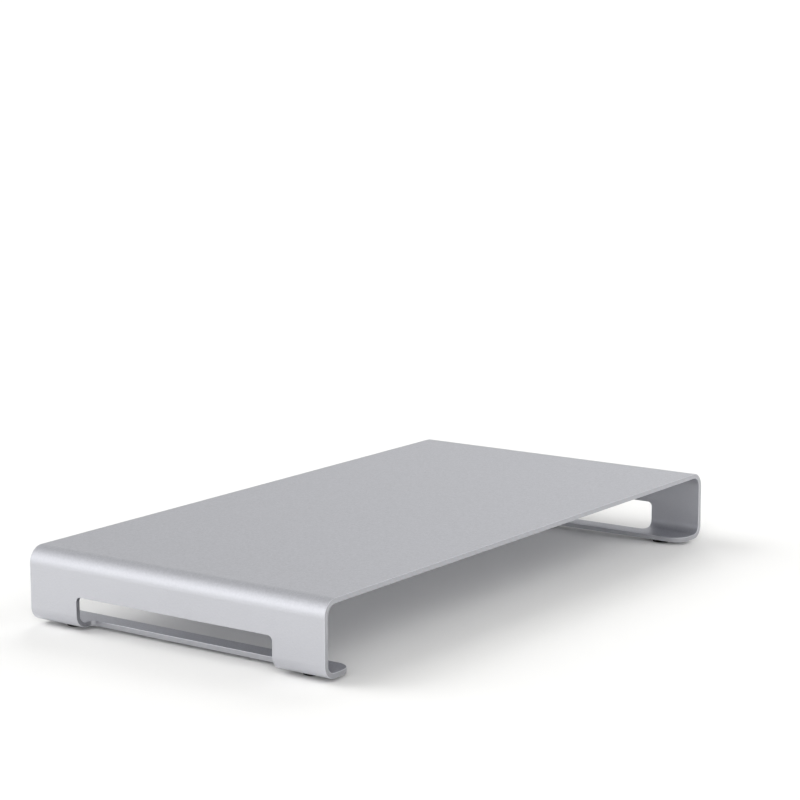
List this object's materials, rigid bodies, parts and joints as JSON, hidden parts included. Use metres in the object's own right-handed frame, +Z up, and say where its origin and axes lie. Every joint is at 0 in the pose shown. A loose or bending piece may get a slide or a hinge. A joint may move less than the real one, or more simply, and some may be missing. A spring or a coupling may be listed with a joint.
{
  "type": "monitor riser stand",
  "caption": "Shallow desk bridge bent from aluminium sheet, with inward flanges, a long opening in each side wall and low rubber feet; a screen stands on top and a keyboard slides under.",
  "frame": {"origin": "on the desk, under the middle of the stand, at the bottom centre of its bounding box", "axes": "+X along the stand's longest side, to the right of a user facing the screen; -Y towards the user, the open front; +Z up"},
  "size_m": [0.4, 0.21, 0.0455],
  "materials": {
    "anodised_sheet": "bead-blasted, clear satin anodised",
    "foot_rubber": "matt moulded, fine grain",
    "adhesive_film": "die-cut double-sided adhesive, slightly milky"
  },
  "bodies": {
    "root": {"riser_body": "anodised_sheet", "foot_front_left": "foot_rubber", "foot_front_right": "foot_rubber", "foot_rear_left": "foot_rubber", "foot_rear_right": "foot_rubber", "adhesive_front_left": "adhesive_film", "adhesive_front_right": "adhesive_film", "adhesive_rear_left": "adhesive_film", "adhesive_rear_right": "adhesive_film"}
  },
  "joints": []
}
